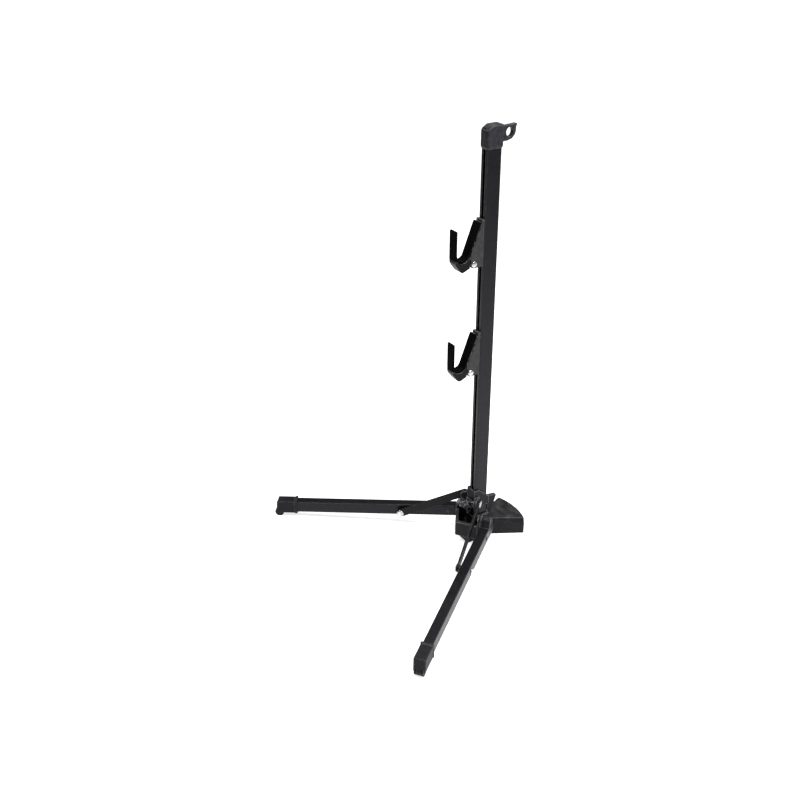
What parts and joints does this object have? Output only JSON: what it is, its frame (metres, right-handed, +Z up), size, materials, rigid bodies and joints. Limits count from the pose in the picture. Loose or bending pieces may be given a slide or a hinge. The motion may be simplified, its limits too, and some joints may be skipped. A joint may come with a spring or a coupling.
{
  "type": "folding hook stand",
  "caption": "Folding floor stand: slotted upright with a hanging eye, height-adjustable rubber-lined hooks, braced folding legs with ribbed feet and a fan-shaped foot plate.",
  "frame": {"origin": "on the floor, on the axis of the upright", "axes": "+Z up along the upright, -Y towards the slot and the hooks, +X to the right-hand leg"},
  "size_m": [0.3408, 0.2466, 0.49],
  "materials": {
    "black_anodised": "black anodised, satin",
    "black_moulding": "glass-filled moulding, fine grain",
    "grey_moulding": "dark grey moulding",
    "black_rubber": "matt rubber",
    "bright_steel": "plated rivet heads",
    "blackened_steel": "blackened steel"
  },
  "bodies": {
    "stand": {"upright_channel": "black_anodised", "top_cap": "black_moulding", "hub_body": "black_moulding", "foot_plate": "black_moulding", "plate_screw_left": "blackened_steel", "plate_screw_right": "blackened_steel", "upright_cross_pin": "blackened_steel", "leg_hinge_pin_left": "bright_steel", "leg_hinge_pin_right": "bright_steel"},
    "left_leg": {"leg_channel_left": "black_anodised", "leg_knuckle_left": "black_moulding", "knuckle_rivet_left": "blackened_steel", "leg_foot_left": "black_rubber", "brace_spacer_left": "blackened_steel", "brace_lower_rivet_left": "bright_steel"},
    "right_leg": {"leg_channel_right": "black_anodised", "leg_knuckle_right": "black_moulding", "knuckle_rivet_right": "blackened_steel", "leg_foot_right": "black_rubber", "brace_spacer_right": "blackened_steel", "brace_lower_rivet_right": "bright_steel"},
    "left_brace": {"brace_left": "black_anodised"},
    "right_brace": {"brace_right": "black_anodised"},
    "slide_collar": {"collar": "black_moulding", "brace_upper_rivet_left": "bright_steel", "brace_upper_rivet_right": "bright_steel", "latch_pin": "blackened_steel"},
    "upper_slider": {"hook_bracket_upper": "grey_moulding", "hook_slide_block_upper": "blackened_steel", "hook_rivet_upper": "bright_steel"},
    "lower_slider": {"hook_bracket_lower": "grey_moulding", "hook_slide_block_lower": "blackened_steel", "hook_rivet_lower": "bright_steel"},
    "upper_hook": {"hook_arm_upper": "blackened_steel", "hook_pad_upper": "black_rubber"},
    "lower_hook": {"hook_arm_lower": "blackened_steel", "hook_pad_lower": "black_rubber"},
    "latch": {"latch_lever": "black_moulding"}
  },
  "joints": [
    {"name": "left_leg_fold", "type": "hinge", "parent": "stand", "child": "left_leg", "pos_m": [-0.02456, -0.00415, 0.035], "axis": [-0.7912, 0.6115, 0], "range_deg": [0, 92.65]},
    {"name": "right_leg_fold", "type": "hinge", "parent": "stand", "child": "right_leg", "pos_m": [0.02456, -0.00415, 0.035], "axis": [-0.7912, -0.6115, 0], "range_deg": [0, 92.65]},
    {"name": "left_brace_swing", "type": "hinge", "parent": "left_leg", "child": "left_brace", "pos_m": [-0.07043, -0.06349, 0.0186], "axis": [-0.7912, 0.6115, 0], "range_deg": [-147.47, 0]},
    {"name": "right_brace_swing", "type": "hinge", "parent": "right_leg", "child": "right_brace", "pos_m": [0.07043, -0.06349, 0.0186], "axis": [-0.7912, -0.6115, 0], "range_deg": [-147.47, 0]},
    {"name": "collar_slide", "type": "slide", "parent": "stand", "child": "slide_collar", "axis": [0, 0, 1], "range_m": [0, 0.14024]},
    {"name": "upper_hook_slide", "type": "slide", "parent": "stand", "child": "upper_slider", "axis": [0, 0, 1], "range_m": [-0.035, 0.064]},
    {"name": "lower_hook_slide", "type": "slide", "parent": "stand", "child": "lower_slider", "axis": [0, 0, 1], "range_m": [-0.008, 0.035]},
    {"name": "upper_hook_tilt", "type": "hinge", "parent": "upper_slider", "child": "upper_hook", "pos_m": [0, -0.0205, 0.351], "axis": [1, 0, 0], "range_deg": [0, 35]},
    {"name": "lower_hook_tilt", "type": "hinge", "parent": "lower_slider", "child": "lower_hook", "pos_m": [0, -0.0205, 0.226], "axis": [1, 0, 0], "range_deg": [0, 35]},
    {"name": "latch_press", "type": "hinge", "parent": "slide_collar", "child": "latch", "pos_m": [0, -0.018, 0.0496], "axis": [-1, 0, 0], "range_deg": [0, 15], "stiffness_Nm_per_rad": 0.02}
  ],
  "couplings": [
    {"joint": "right_leg_fold", "follows": "left_leg_fold", "ratio": 1},
    {"joint": "left_brace_swing", "follows": "left_leg_fold", "ratio": -1.5915},
    {"joint": "right_brace_swing", "follows": "left_leg_fold", "ratio": -1.5915},
    {"joint": "collar_slide", "follows": "left_leg_fold", "m_per_rad": 0.086601}
  ]
}
